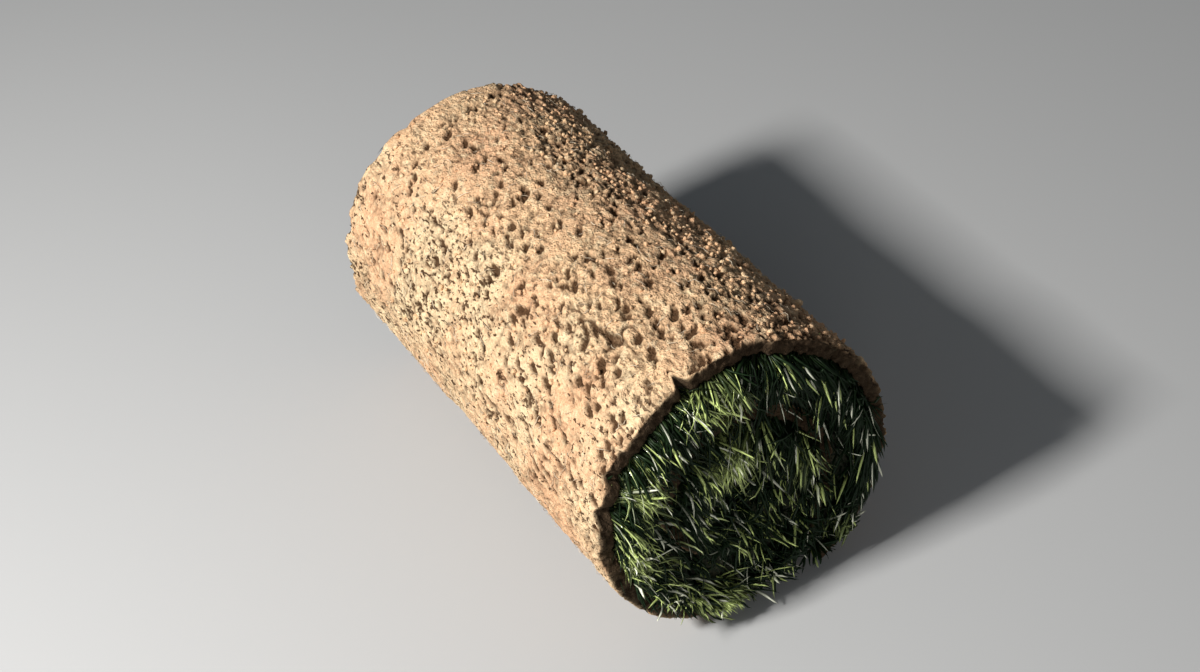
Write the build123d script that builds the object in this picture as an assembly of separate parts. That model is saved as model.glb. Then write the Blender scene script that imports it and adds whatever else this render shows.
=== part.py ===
from build123d import *
import os
from math import asin, atan2, cos, degrees, pi, radians, sin

# A roll of turf: one strip of soil and grass, wound with the grass inside, lying on its side.
# The roll's axis is along Y and it rests on the floor at Z = 0, its last end tucked under it.
# The section is drawn flat, as seen from the roll's +Y end, with the strip wound anticlockwise
# from the eye outwards. Each half turn is an arc about one of two centres, so every turn runs
# smoothly into the next, and the last half turn closes in on the turn below it.

# Driving dimensions, in millimetres
strip_length = 1524.0  # the cut strip, along the middle of its soil
strip_width = 610.0  # the cut strip across, which is the roll's length
soil_thickness = 18.0  # soil and roots that the cutter lifts
grass_thickness = 58.0  # grass lying between one turn and the next
tail_grass = 10.0  # grass pressed flat under the strip's last end
first_bend = 73.0  # inside radius of the soil's first and tightest half turn
eye_radius = 24.0  # hole that the grass leaves down the middle
grass_setback = 1.0  # how far the grass stops short of the soil, at the roll's ends and under the strip's last end
soil_edge = 3.0  # bevel of the soil's outer edge at each end of the roll
tuft_step = 29.0  # distance between one tuft of grass and the next, along the strip and across the grass
tuft_gap = 1.5  # clear space round a tuft's foot, to the soil and to its neighbours
tuft_root = 4.0  # how deep a tuft's foot is sunk in the grass
tuft_proud = 8.0  # how far a full tuft stands out past the soil, at the roll's ends
tuft_droop = 10.0  # how far a full tuft's tip hangs down
tuft_tip = 2.5  # radius of a full tuft's tip
tuft_sides = 5  # flat sides of a tuft
smallest_tuft = 6.0  # radius of the foot of the smallest tuft
dent_bend = 400.0  # radius that the hollows in the soil's outer face are bent to

# Hollows in the soil's outer face: angle back from the strip's last end, place along the roll, depth
dents = (
    (106.0, 100.0, 7.0),
    (122.0, -80.0, 5.0),
    (78.0, 215.0, 4.0),
    (72.0, -190.0, 5.0),
    (58.0, 20.0, 4.5),
    (160.0, -200.0, 4.0),
    (156.0, 195.0, 4.0),
    (232.0, -120.0, 5.0),
    (204.0, 60.0, 4.0),
    (250.0, 190.0, 5.0),
    (268.0, 30.0, 4.5),
    (288.0, -170.0, 5.0),
    (306.0, 120.0, 4.0),
)

turn_step = soil_thickness + grass_thickness
half_step = turn_step / 2
tail_thickness = soil_thickness + tail_grass
eye_centre = Vector(-half_step / 2, 0)
full_tuft = tuft_step / 2 - tuft_gap  # radius of the foot of a full tuft
section_plane = Plane((0, 0, 0), x_dir=(-1, 0, 0), z_dir=(0, 1, 0))


def outward(angle):
    """Direction away from the strip's centre of bending, at a winding angle from the strip's first end."""
    return Vector(cos(pi + angle), sin(pi + angle))


def bend(half_turn):
    """Centre and radius of the soil's outer face in one half turn: the radius grows as the centre swaps."""
    centre = Vector(-half_step * (half_turn % 2), 0)
    radius = first_bend + soil_thickness + half_turn * half_step
    return centre, radius


def wound(angle):
    """Point of the soil's outer face at a winding angle, before the tail closes in."""
    centre, radius = bend(int(angle // pi))
    return centre + outward(angle) * radius


def soil_used(angle):
    """Length along the middle of the soil, from the strip's first end to a winding angle."""
    whole = int(angle // pi)
    halves = sum(bend(n)[1] - soil_thickness / 2 for n in range(whole)) * pi
    return halves + (angle - whole * pi) * (bend(whole)[1] - soil_thickness / 2)


def tail_radius(angle):
    """Radius of a last half turn from this angle, whose end lies one tail thickness off the turn below."""
    across = (wound(angle) - wound(angle - pi)).dot(outward(angle))
    return (across + tail_thickness) / 2


def tail_start():
    """Winding angle where the last half turn begins, so that the strip ends at its full length."""
    low = pi
    high = low + strip_length / first_bend
    for _ in range(50):
        middle = (low + high) / 2
        used = soil_used(middle) + pi * (tail_radius(middle) - soil_thickness / 2)
        low, high = (middle, high) if used < strip_length else (low, middle)
    return low


last_bend = tail_start()
strip_end = last_bend + pi
closing_radius = tail_radius(last_bend)
closing_centre = wound(last_bend) - outward(last_bend) * closing_radius


def bend_at(angle):
    """Centre and radius that hold at a winding angle, the tail's own included."""
    if angle > last_bend:
        return closing_centre, closing_radius
    return bend(int(angle // pi))


def at(angle, depth=0.0):
    """Point of the strip at a winding angle, at a depth under the soil's outer face."""
    centre, radius = bend_at(angle)
    return centre + outward(angle) * (radius - depth)


def face_run(first, last, depth=0.0):
    """Arcs along the strip from one winding angle to a later one, at one depth."""
    joints = [n * pi for n in range(int(last_bend // pi) + 1)] + [last_bend]
    stops = [first] + [a for a in joints if first < a < last] + [last]
    return [
        ThreePointArc(at(a, depth), at((a + b) / 2, depth), at(b, depth))
        for a, b in zip(stops, stops[1:])
    ]


def closed_face(edges):
    """Face inside a closed run of edges, stood upright across the roll's axis."""
    return section_plane * make_face(Curve() + edges)


def soil_section():
    """The soil alone: a band of even thickness from the strip's first end to its last."""
    outer = face_run(0, strip_end)
    inner = face_run(0, strip_end, soil_thickness)
    first_end = Line(at(0), at(0, soil_thickness))
    last_end = Line(at(strip_end), at(strip_end, soil_thickness))
    return closed_face(outer + [last_end] + inner + [first_end])


def turn_below(angle, depth):
    """Winding angle on the turn below that squarely faces a point of the strip."""
    guess = angle - 2 * pi
    reach = at(angle, depth) - bend_at(guess)[0]
    turned = (atan2(reach.Y, reach.X) - guess) % (2 * pi)
    return guess + turned - pi


def grass_section():
    """The grass: all between one turn's soil and the next."""
    grass_end = strip_end - grass_setback / closing_radius
    facing = turn_below(grass_end, soil_thickness)
    under = face_run(0, grass_end, soil_thickness)
    over = face_run(0, facing)
    first_end = Line(at(0), at(0, soil_thickness))
    last_end = Line(at(facing), at(grass_end, soil_thickness))
    return closed_face(under + [last_end] + over + [first_end])


def eye_section():
    """The eye, midway between the two centres that the turns bend about."""
    return section_plane * Pos(eye_centre) * Circle(eye_radius)


def rim_edges(soil):
    """Long edges of the soil's outer face in the roll's two end planes."""
    rim = []
    for end in (-strip_width / 2, strip_width / 2):
        edges = soil.edges().filter_by_position(Axis.Y, end, end)
        for arc in face_run(0, strip_end):
            middle = section_plane.from_local_coords(arc @ 0.5) + Vector(0, end, 0)
            rim += [e for e in edges if e.distance_to(middle) < soil_edge / 10]
    return rim


def make_dents():
    """Balls that press the broad hollows into the soil's outer face."""
    balls = []
    for back, along, depth in dents:
        middle = at(strip_end - radians(back), depth - dent_bend)
        balls.append(section_plane * Pos(middle.X, middle.Y, along) * Sphere(dent_bend))
    return balls


def make_soil():
    """Soil mat, wound at the strip's full width, with its outer edges bevelled and its face hollowed."""
    soil = extrude(soil_section(), amount=strip_width / 2, both=True)
    return chamfer(rim_edges(soil), soil_edge) - make_dents()


def grass_room(angle):
    """Thickness of grass inside a winding angle: to the eye on the first turn, else to the turn below."""
    inner = at(angle, soil_thickness)
    if angle < 2 * pi:
        return (inner - eye_centre).length - eye_radius
    return (inner - at(max(turn_below(angle, soil_thickness), 0))).length


def tuft_row(depth, last):
    """Middle and foot radius of each tuft in one row, which follows the strip at a depth under its soil."""
    row = []
    angle = tuft_step / first_bend
    while angle < last:
        room = min(grass_room(angle) - depth, tuft_step)
        radius = room / 2 - tuft_gap
        if radius > smallest_tuft:
            row.append((at(angle, soil_thickness + depth + room / 2), radius))
        reach = bend_at(angle)[1] - soil_thickness - depth - tuft_step / 2
        angle += tuft_step / max(reach, tuft_step)
    return row


def tuft_places():
    """Middle and foot radius of every tuft: rows side by side, the inner ones on the first turn alone."""
    places = []
    for row in range(int(first_bend / tuft_step) + 1):
        depth = row * tuft_step
        last = 2 * pi - tuft_step / first_bend if depth + tuft_step > grass_thickness else strip_end
        places += tuft_row(depth, last)
    return places


def tuft_ring(middle, height, radius):
    """Corners of a tuft's flat-sided outline, at a height along the roll."""
    corners = RegularPolygon(radius, tuft_sides).vertices()
    return [Vector(c.X + middle.X, c.Y + middle.Y, height) for c in corners]


def make_tuft(middle, radius):
    """Tuft of grass at the roll's +Y end: it narrows from a flat-sided foot to a tip that hangs down."""
    size = radius / full_tuft
    tip = middle + Vector(0, -tuft_droop * size).rotate(Axis.Z, -degrees(resting_turn()))
    foot_ring = tuft_ring(middle, strip_width / 2 - grass_setback - tuft_root, radius)
    tip_ring = tuft_ring(tip, strip_width / 2 + tuft_proud * size, tuft_tip * size)
    sides = [
        make_face(Polyline(foot_ring[k - 1], foot_ring[k], tip_ring[k], tip_ring[k - 1], close=True))
        for k in range(tuft_sides)
    ]
    ends = [make_face(Polyline(*ring, close=True)) for ring in (foot_ring, tip_ring)]
    return section_plane * Solid(Shell([piece.face() for piece in sides + ends]))


def make_grass():
    """Grass between the turns, set back from the soil at both ends, with tufts that stand out."""
    width = strip_width - 2 * grass_setback
    grass = extrude(grass_section() - eye_section(), amount=width / 2, both=True)
    tufts = [make_tuft(middle, radius) for middle, radius in tuft_places()]
    return grass + tufts + [mirror(tuft, Plane.XZ) for tuft in tufts]


def resting_turn():
    """Angle of the line under the roll that touches the strip's last end and the turn behind it."""
    tip = at(strip_end)
    below = strip_end - 2 * pi
    for half_turn in range(int(below // pi), int(below // pi) + 3):
        centre, radius = bend(half_turn)
        reach = centre - tip
        slope = atan2(reach.Y, reach.X) - asin(radius / reach.length)
        touch = below + (slope - 3 * pi / 2 - below) % (2 * pi)
        if touch <= (half_turn + 1) * pi:
            return slope
    return slope


def make_turf_roll():
    """The whole roll, turned to rest on its tail, on the floor and centred on the origin."""
    roll = make_soil() + make_grass()
    roll = Rot(0, -degrees(resting_turn()), 0) * roll
    box = roll.bounding_box()
    return Pos(-box.center().X, -box.center().Y, -box.min.Z) * roll


os.makedirs("parts", exist_ok=True)
turf_roll = make_turf_roll()
export_step(turf_roll, "parts/turf_roll.step")
print("size", turf_roll.bounding_box().size, "winding turns", strip_end / (2 * pi))
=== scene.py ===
from itertools import product
from math import asin, atan2, cos, pi, radians, sin

import bpy
import numpy as np
from bpy.props import FloatProperty, FloatVectorProperty, IntProperty, PointerProperty
from mathutils import Matrix, Vector


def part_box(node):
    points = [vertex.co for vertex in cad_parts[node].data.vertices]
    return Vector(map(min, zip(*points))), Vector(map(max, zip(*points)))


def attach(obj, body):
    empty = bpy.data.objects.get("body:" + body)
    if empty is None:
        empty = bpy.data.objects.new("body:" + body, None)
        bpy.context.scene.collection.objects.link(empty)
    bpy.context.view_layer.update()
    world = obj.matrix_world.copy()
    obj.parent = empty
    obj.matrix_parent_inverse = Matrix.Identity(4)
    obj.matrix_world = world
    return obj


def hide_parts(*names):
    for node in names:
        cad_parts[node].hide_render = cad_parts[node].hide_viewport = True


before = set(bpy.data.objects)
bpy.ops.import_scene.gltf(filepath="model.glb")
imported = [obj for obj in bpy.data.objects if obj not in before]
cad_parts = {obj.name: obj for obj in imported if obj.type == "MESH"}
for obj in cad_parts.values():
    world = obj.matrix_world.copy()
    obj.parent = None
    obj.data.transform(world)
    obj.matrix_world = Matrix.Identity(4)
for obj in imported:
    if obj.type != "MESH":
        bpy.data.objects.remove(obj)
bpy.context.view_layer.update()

bl_info = {
    "name": "Roll of turf",
    "version": (1, 0, 0),
    "blender": (4, 5, 0),
    "location": "3D View > Sidebar > Turf",
    "description": "Dresses a wound strip of cut turf in soil, thatch and grass",
    "category": "Object",
}

NODE = "turf_roll"
BODY = "root"
FRONT = -1  # the photographed end, at -Y
BACK = 1
UP = np.array([0.0, 0.0, 1.0])
LONG = np.array([0.0, 1.0, 0.0])
FULL_TURN = 2 * pi
FINE = 4000  # places at which lengths along the winding are summed
SOIL_CLEAR = 0.0003  # height over the floor that soil keeps
GRASS_CLEAR = 0.0005  # and that grass keeps

DENT_BEND = 0.4  # radius of the balls that cut the hollows
DENT_RIM = 0.0008  # depth over which a hollow's rim is rounded
# Hollows in the soil's outer face, as in the solid model: degrees back from the strip's last end,
# place along the roll and depth
DENTS = (
    (106, 0.1, 0.007),
    (122, -0.08, 0.005),
    (78, 0.215, 0.004),
    (72, -0.19, 0.005),
    (58, 0.02, 0.0045),
    (160, -0.2, 0.004),
    (156, 0.195, 0.004),
    (232, -0.12, 0.005),
    (204, 0.06, 0.004),
    (250, 0.19, 0.005),
    (268, 0.03, 0.0045),
    (288, -0.17, 0.005),
    (306, 0.12, 0.004),
)
# Notches in the soil's edge at each end: lean from straight up towards -X, depth and half width
NOTCHES = {
    FRONT: (
        (0.29, 0.018, 0.0045),
        (1.02, 0.007, 0.008),
        (1.28, 0.013, 0.009),
        (1.62, 0.008, 0.012),
        (-0.16, 0.006, 0.004),
    ),
    BACK: ((1.2, 0.008, 0.01), (0.35, 0.006, 0.006), (-0.7, 0.009, 0.008)),
}
# Tufts at the front end, brightened as painted sunlight or, where how bright is below 0, darkened as painted
# shade: across, up, reach and how bright
LIT_AND_SHADED_TUFTS = (
    (-0.01, 0.282, 0.02, 0.8),
    (-0.012, 0.205, 0.022, 0.9),
    (-0.115, 0.225, 0.016, 0.7),
    (-0.146, 0.142, 0.02, 1.0),
    (-0.05, 0.03, 0.022, 0.8),
    (0.068, 0.166, 0.016, 0.3),
    (0.09, 0.055, 0.016, 0.35),
    (-0.06, 0.11, 0.034, -1.0),
    (-0.13, 0.19, 0.02, -0.8),
)
# The soil's scattered grains: distance from one to the next, and their pattern's seed
LUMPS = (0.017, 100)
CLODS = (0.0105, 20)
CRUMBS = (0.0052, 40)
SLITS = (0.0095, 60)
PITS = (0.019, 80)
DRAWN_OUT = 0.6  # how much lengths along the roll count in the soil's pattern, which draws it out
MEAN_DOME = 0.62  # taken off every grain's dome, so that the grains don't raise the whole face

OUTER_CORNER = 0.003  # radius of the soil's long corners on its outer face
INNER_CORNER = 0.002  # and on its inner face
EDGE_BAND = 0.04  # how far in from the ends the soil's inner face is fine
BLADE_PLACES = np.array([0.0, 0.3, 0.58, 0.84, 1.0])  # a blade's rings, and its tip
BLADE_WIDTHS = np.array([0.6, 1.0, 0.92, 0.58])
ROOT_WIDTHS = np.array([0.6, 1, 1, 0.9, 0.7, 0.3])

# Colours that no setting holds, as linear red, green and blue
# Stem and stem shade are a lit and a shaded copy of one colour: painted light and shade on the thatch
STEM = (0.11, 0.1, 0.045)
STEM_SHADE = (0.022, 0.026, 0.011)
# Painted shade where the thatch is sunk
THATCH_HOLLOW_SHADE = (0.008, 0.008, 0.005)
# Painted shade at the blades' feet, deep in the grass
BLADE_FOOT_SHADE = (0.02, 0.034, 0.011)
BLADE_SPOT = (0.03, 0.05, 0.012)
ROOT_BROWN = (0.3, 0.2, 0.12)
ROOT_STRAW = (0.78, 0.66, 0.48)
SKY_LIGHT = (0.8, 0.9, 1.0)

# Square lamps: place from the roll's middle, and length of a side
KEY_LAMP = ((-2.4, -0.2, 2.1), 0.5)
FILL_LAMP = ((-0.7, -2.5, 0.6), 1.0)
CAMERA_PLACE = (-0.779, -1.863, 1.805)  # from the roll's middle, but its height is from the floor
AIM_BELOW = 0.004  # how far under the roll's middle the camera looks
CAMERA_LEAN = 11.4  # degrees that the photograph is turned about the line of sight


# Sizes and colours that a user would change


def amount(name, description, default, unit="LENGTH"):
    """A number that can be set: a length in metres, unless another unit is given."""
    return FloatProperty(name=name, description=description, default=default, unit=unit)


def tint(name, description, default):
    """A colour that can be set, as linear red, green and blue."""
    return FloatVectorProperty(name=name, description=description, default=default, subtype="COLOR")


class TurfStripSettings(bpy.types.PropertyGroup):
    """The cut strip and how it is wound. The lengths are those of the solid model."""

    length: amount("Strip length", "Along the middle of the soil", 1.524)
    width: amount("Strip width", "Which is the roll's length", 0.61)
    soil: amount("Soil thickness", "Soil and roots under the grass", 0.018)
    gap: amount("Grass thickness", "Grass between one turn and the next", 0.058)
    tail: amount("Tail grass", "Grass pressed flat under the last end", 0.01)
    first_bend: amount("First bend", "Inside radius of the soil's tightest half turn", 0.073)
    eye: amount("Eye radius", "Hollow that the grass leaves down the middle", 0.024)


class TurfSoilSettings(bpy.types.PropertyGroup):
    """The soil's relief and colours."""

    grid: amount("Grid", "Distance between the points of the outer turn", 0.0021)
    lump: amount("Lumps", "Height of the broad swells", 0.0022)
    crumb: amount("Crumbs", "Height of the clods; crumbs stand half as high", 0.0017)
    pit: amount("Pits", "Depth of the pits and cracks", 0.004)
    base: tint("Dry soil", "Colour of most of the soil", (0.88, 0.56, 0.31))
    warm: tint("Red soil", "Colour of the redder patches", (0.82, 0.47, 0.26))
    pale: tint("Pale soil", "Colour of the palest crumbs", (0.92, 0.74, 0.46))
    # Deep is the painted shade in the creases and speck marks, and the colour of the dark grains and mottling
    deep: tint("Pits", "Colour of the creases and pits", (0.062, 0.027, 0.01))
    # Laid on the cut ends and the inner face: partly moist soil, partly painted shade
    dark: tint("Damp soil", "Colour of the cut ends and the inner face", (0.034, 0.021, 0.011))


class TurfGrassSettings(bpy.types.PropertyGroup):
    """The blades at the roll's two ends."""

    blades: IntProperty(name="Blades", description="Number of blades at the photographed end", default=8200)
    long_blade: amount("Blade length", "Length of an average blade", 0.064)
    wide_blade: amount("Blade width", "Width of an average blade", 0.0034)
    depth: amount("Depth", "How far in from the end the blades are rooted", 0.045)
    proud: amount("Proud", "How far the brightest front blades may stand out of the end", 0.034)
    # Leaf is darker than living grass: the difference is painted shade
    leaf: tint("Leaf", "Colour of most blades", (0.0065, 0.018, 0.005))
    # Young leaf is brighter than living grass: partly painted sunlight
    young: tint("Young leaf", "Colour of the brightest blades", (0.7, 0.82, 0.27))
    # Pale colour of withered blades, which partly stand for painted glints
    straw_and_glint: tint("Straw", "Colour of the dry blades", (0.95, 0.95, 0.74))


class TurfStageSettings(bpy.types.PropertyGroup):
    """Floor, light and camera."""

    floor: tint("Floor", "Colour of the floor", (0.45, 0.445, 0.435))
    key: amount("Key light", "Power of the soft lamp high on the -X side", 163.0, "POWER")
    fill: amount("Fill light", "Power of the larger lamp low beside the camera", 12.0, "POWER")
    sky: amount("Sky", "Strength of the even light from all round", 0.12, "NONE")
    lens: amount("Lens", "Focal length in millimetres", 70.0, "NONE")


# The winding, as in the solid model: each half turn is an arc about one of two centres


class Winding:
    """The strip's section, in metres, and its place in the frame."""

    def __init__(self, strip):
        self.length = strip.length
        self.width = strip.width
        self.soil = strip.soil
        self.gap = strip.gap
        self.eye = strip.eye
        self.first = strip.first_bend + strip.soil
        self.half_step = (strip.soil + strip.gap) / 2
        self.eye_middle = np.array([-self.half_step / 2, 0.0])
        self.tail = strip.soil + strip.tail
        self.last_bend, self.closing_radius, self.closing_centre = np.inf, 0.0, np.zeros(2)
        last_bend = self.tail_start()
        self.end = last_bend + pi
        self.lap = self.end - FULL_TURN
        self.closing_radius = self.tail_radius(last_bend)
        self.closing_centre = self.face(last_bend) - outward(last_bend) * self.closing_radius
        self.last_bend = last_bend
        self.low, self.high = (np.array(corner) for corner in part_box(NODE))
        self.settle()

    def centre(self, angle):
        """Centre of bending: the two centres take turns, half a step apart, and the tail has its own."""
        angle = np.asarray(angle, float)
        swapped = -self.half_step * (np.floor(angle / pi) % 2)
        centre = np.stack([swapped, np.zeros_like(swapped)], -1)
        return np.where((angle > self.last_bend)[..., None], self.closing_centre, centre)

    def radius(self, angle):
        """Radius of the soil's outer face: it grows by half a step each half turn."""
        angle = np.asarray(angle, float)
        radius = self.first + np.floor(angle / pi) * self.half_step
        return np.where(angle > self.last_bend, self.closing_radius, radius)

    def face(self, angle, depth=0.0):
        """Section point at a winding angle: centre plus radius less depth, along the outward direction."""
        reach = self.radius(angle) - depth
        return self.centre(angle) + outward(angle) * np.asarray(reach)[..., None]

    def soil_used(self, angle):
        """Length of the strip used up to an angle: each half turn is pi times its middle radius."""
        whole = int(angle // pi)
        radii = self.first + np.arange(whole + 1) * self.half_step - self.soil / 2
        return pi * radii[:whole].sum() + (angle - whole * pi) * radii[whole]

    def tail_radius(self, angle):
        """Radius of a last half turn that ends one tail thickness off the turn below."""
        across = (self.face(angle) - self.face(angle - pi)) @ outward(angle)
        return (across + self.tail) / 2

    def tail_start(self):
        """Angle of the last half turn, by halving, so that the strip is used up at its end."""
        low, high = pi, pi + self.length / (self.first - self.soil)
        for _ in range(50):
            middle = (low + high) / 2
            used = self.soil_used(middle) + pi * (self.tail_radius(middle) - self.soil / 2)
            low, high = (middle, high) if used < self.length else (low, middle)
        return low

    def along(self, angle):
        """Length along the outer face up to an angle, summed over the arcs."""
        fine = np.linspace(0, self.end, FINE)
        steps = self.radius((fine[1:] + fine[:-1]) / 2) * np.diff(fine)
        return np.interp(angle, fine, np.concatenate([[0], np.cumsum(steps)]))

    def angle_at(self, along, first, last):
        """Winding angle at a length along the outer face, between a first and a last angle."""
        fine = np.linspace(first, last, FINE)
        return np.interp(along, self.along(fine), fine)

    def settle(self):
        """Lays the section on its tucked end and the turn beside it, inside the node's box."""
        tip = self.face(self.end)
        for half_turn in range(int(self.lap // pi), int(self.lap // pi) + 3):
            angle = (half_turn + 0.5) * pi
            reach = self.centre(angle) - tip
            slope = atan2(reach[1], reach[0]) - asin(self.radius(angle) / np.hypot(*reach))
            if self.lap + (slope - 3 * pi / 2 - self.lap) % FULL_TURN <= (half_turn + 1) * pi:
                break
        self.turn = np.array([[-cos(slope), -sin(slope)], [-sin(slope), cos(slope)]])
        self.shift = np.zeros(2)
        outline = self.place(self.face(np.linspace(self.lap, self.end, 5 * FINE)), 0.0)
        across, up = outline[:, 0], outline[:, 2]
        middle = (self.low[0] + self.high[0] - across.min() - across.max()) / 2
        self.shift = np.array([middle, self.low[2] - up.min()])
        self.eye_at = self.place(self.eye_middle, 0.0)

    def place(self, section, y):
        """Points of the frame: the section is mirrored in X, turned to its resting slope and shifted."""
        flat = section @ self.turn.T + self.shift
        return np.stack([flat[..., 0], np.broadcast_to(y, flat.shape[:-1]), flat[..., 1]], -1)

    def out(self, angle):
        """Outward direction of the soil's face in the frame."""
        flat = outward(angle) @ self.turn.T
        return np.stack([flat[..., 0], np.zeros(flat.shape[:-1]), flat[..., 1]], -1)

    def lean(self, angle):
        """Angle of the outward direction from straight up, towards -X."""
        out = self.out(angle)
        return np.arctan2(-out[..., 0], out[..., 2])

    def turn_below(self, angle, depth):
        """Angle on the turn below that squarely faces a point of the strip."""
        guess = np.asarray(angle) - FULL_TURN
        reach = self.face(angle, depth) - self.centre(guess)
        return guess + (np.arctan2(reach[..., 1], reach[..., 0]) - guess) % FULL_TURN - pi

    def room(self, angle):
        """Thickness of grass inside a winding angle: to the turn below, or to the eye on the first turn."""
        angle = np.asarray(angle, float)
        inner = self.face(angle, self.soil)
        to_eye = np.linalg.norm(inner - self.eye_middle, axis=-1) - self.eye
        later = np.maximum(angle, FULL_TURN)
        to_turn = np.linalg.norm(inner - self.face(self.turn_below(later, self.soil)), axis=-1)
        opening = smooth(angle - FULL_TURN + 0.3, 0.3)
        return to_eye * (1 - opening) + to_turn * opening


def outward(angle):
    """Direction away from the centre of bending, in the section's own plane."""
    return np.stack([-np.cos(angle), -np.sin(angle)], -1)


def smooth(ramp, over=1.0):
    """Three t squared less two t cubed, for t = ramp / over held between 0 and 1."""
    ramp = np.clip(ramp / over, 0.0, 1.0)
    return ramp * ramp * (3 - 2 * ramp)


def unit(vectors):
    """Vectors divided by their lengths."""
    return vectors / np.maximum(np.linalg.norm(vectors, axis=-1, keepdims=True), 1e-9)


# Patterns worked out for whole arrays of points


def scattered(cells, seed):
    """A number from 0 to 1 for each whole-number cell: coordinates times large odd numbers, then mixed."""
    cell = cells.astype(np.int64).astype(np.uint32)
    mixed = cell[..., 0] * np.uint32(0x9E3779B1) ^ cell[..., 1] * np.uint32(0x85EBCA77)
    mixed = mixed ^ cell[..., 2] * np.uint32(0xC2B2AE3D) ^ np.uint32((seed * 0x27D4EB2F) & 0xFFFFFFFF)
    for shift, factor in ((15, 0x2C1B3C6D), (12, 0x297A2D39)):
        mixed = (mixed ^ (mixed >> np.uint32(shift))) * np.uint32(factor)
    return (mixed ^ (mixed >> np.uint32(15))) / 4294967296.0


def swells(points, size, seed):
    """Smooth noise from -1 to 1: cell corners' numbers, blended by smooth steps along each axis."""
    scaled = points / size
    corner = np.floor(scaled)
    part = smooth(scaled - corner)
    total = np.zeros(points.shape[:-1])
    for step in np.ndindex(2, 2, 2):
        weight = np.prod(np.where(np.array(step) == 1, part, 1 - part), axis=-1)
        total += weight * scattered(corner + np.array(step), seed)
    return total * 2 - 1


def grains(points, size, seed):
    """Distance to the nearest scattered grain, in cells, how much farther the next is, and its number."""
    scaled = points / size
    corner = np.floor(scaled)
    near = np.full(points.shape[:-1], 9.0)
    next_near = near.copy()
    number = np.zeros_like(near)
    for step in np.ndindex(3, 3, 3):
        cell = corner + np.array(step) - 1
        middle = cell + np.stack([scattered(cell, seed + k) for k in (11, 12, 13)], -1) * 0.9 + 0.05
        apart = np.linalg.norm(scaled - middle, axis=-1)
        next_near = np.minimum(next_near, np.maximum(near, apart))
        closer = apart < near
        number = np.where(closer, scattered(cell, seed + 17), number)
        near = np.where(closer, apart, near)
    return near, next_near - near, number


def dome(near):
    """Height over a grain: one less the distance squared, less a dome's mean."""
    return 1 - np.minimum(near, 1.0) ** 2 - MEAN_DOME


def soil_relief(along, y, depth, rough, soil):
    """Height over the plain soil, a mask of painted shade for the creases, slits, pits and cracks, and each
    crumb's own number.

    The height is broad swells plus lumps, clods and crumbs, which are domes about scattered grains,
    less creases between the grains, less short slanting slits, round pits and long cracks. The place is
    shifted by noise first, so that none of them is regular, and everything is drawn out along the roll.
    The slits are more and wider at the near end, and the lumps stand only where the soil is roughest.
    Pressed soil, which is the least rough, has neither slits nor cracks.
    """
    plain = np.stack([along, y * DRAWN_OUT, depth], -1)
    shift = [0.0028 * swells(plain, 0.014, k) + 0.0017 * swells(plain, 0.005, k + 2) for k in (1, 2)]
    along, y = along + shift[0], y + shift[1]
    place = np.stack([along, y * DRAWN_OUT, depth], -1)
    broad = swells(plain, 0.075, 5) + 0.5 * swells(plain, 0.03, 6)
    middle = swells(place, 0.012, 7)
    grit = swells(place, 0.0036, 11)
    open_soil = smooth(rough - 0.15, 0.35)
    bold = np.clip(rough - 1.0, 0, 0.6)

    lump_near, apart, lump = grains(place, *LUMPS)
    cleft = bold * (1 - smooth(apart, 0.2))
    clod_near, apart, clod = grains(place, *CLODS)
    gap = (1 - smooth(apart, 0.16)) * smooth(swells(place, 0.019, 12) + 0.35, 0.5)
    crumb_near, apart, crumb = grains(place, *CRUMBS)
    crease = 1 - smooth(apart, 0.24)

    slant = np.stack([0.9 * along - 0.44 * y, 0.42 * (0.44 * along + 0.9 * y), depth], -1)
    near, _, number = grains(slant, *SLITS)
    least = 0.46 - 0.15 * rough + 0.4 * y + 0.35 * swells(plain, 0.04, 13)
    wide = 0.24 - 0.065 * rough - 0.3 * y + 0.3 * number
    slit = open_soil * smooth(number - least, 0.1) * smooth(wide - near - 0.13 * grit, 0.07)
    near, _, number = grains(np.stack([along, y * 0.8, depth], -1), *PITS)
    pit = (number > 0.84 - 0.12 * rough) * smooth(0.05 + 0.16 * number - near - 0.1 * grit, 0.08)
    line = swells(np.stack([along, y * 0.16, depth], -1), 0.021, 8) + 0.2 * middle
    torn = smooth(swells(plain, 0.05, 9) + 0.93 - 0.8 * rough, 0.3)
    torn = torn * smooth(swells(place, 0.02, 10) + 0.3, 0.4)
    crack = open_soil * smooth(0.065 - np.abs(line), 0.05) * torn

    small = dome(crumb_near) * (0.3 + crumb) - 0.6 * crease + 0.5 * grit
    height = soil.lump * broad * 0.7 + 0.0009 * middle * rough
    height += soil.crumb * (2.4 * bold * dome(lump_near) * (0.3 + 1.7 * lump) - 2.2 * cleft)
    height += soil.crumb * rough**1.4 * (dome(clod_near) * (0.3 + 1.5 * clod) - 0.8 * gap)
    height += 0.6 * soil.crumb * np.minimum(rough, 1.1) * small
    height -= soil.pit * (0.8 * slit + 0.6 * pit + 0.6 * crack)
    # Painted shade: the colour is darkened in the slits, pits, cracks, gaps between clods, clefts and
    # creases, more where the soil is rougher
    hollow = slit + 0.95 * pit + 0.85 * crack + 0.5 * gap + 0.9 * cleft
    hollow += 0.28 * crease * (0.35 + 0.65 * rough)
    return height, np.clip(hollow, 0, 1), crumb


# Meshes


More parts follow.
